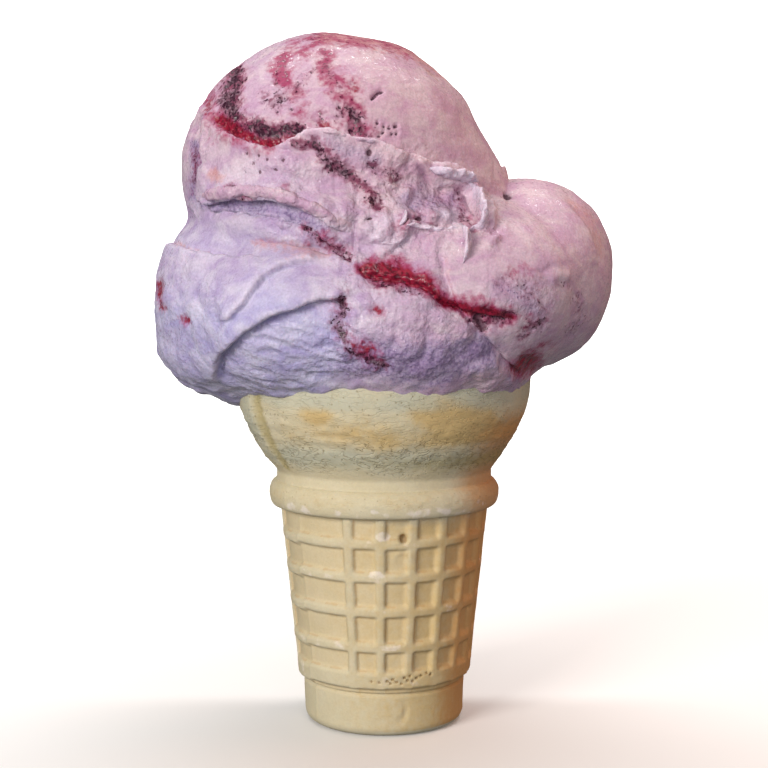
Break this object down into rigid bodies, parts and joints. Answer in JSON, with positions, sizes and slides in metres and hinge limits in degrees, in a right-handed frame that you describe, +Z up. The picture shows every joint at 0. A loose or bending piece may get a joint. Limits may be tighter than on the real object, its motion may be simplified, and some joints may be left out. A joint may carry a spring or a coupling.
{
  "type": "ice cream cone",
  "caption": "Flat-bottomed moulded wafer cup cone with a waffled stem, filled and topped with a large pressed mass of fruit-ripple ice cream.",
  "frame": {"origin": "centre of the cup's flat foot", "axes": "+Z up along the cup's axis, -Y towards the shown front, +X to the right seen from the front"},
  "size_m": [0.0955, 0.0782, 0.1433],
  "materials": {
    "wafer": "baked, matte, dusty",
    "ice_cream": "frozen cream, satin with wet glints"
  },
  "bodies": {
    "root": {"wafer_cup": "wafer", "ice_cream": "ice_cream"}
  },
  "joints": []
}
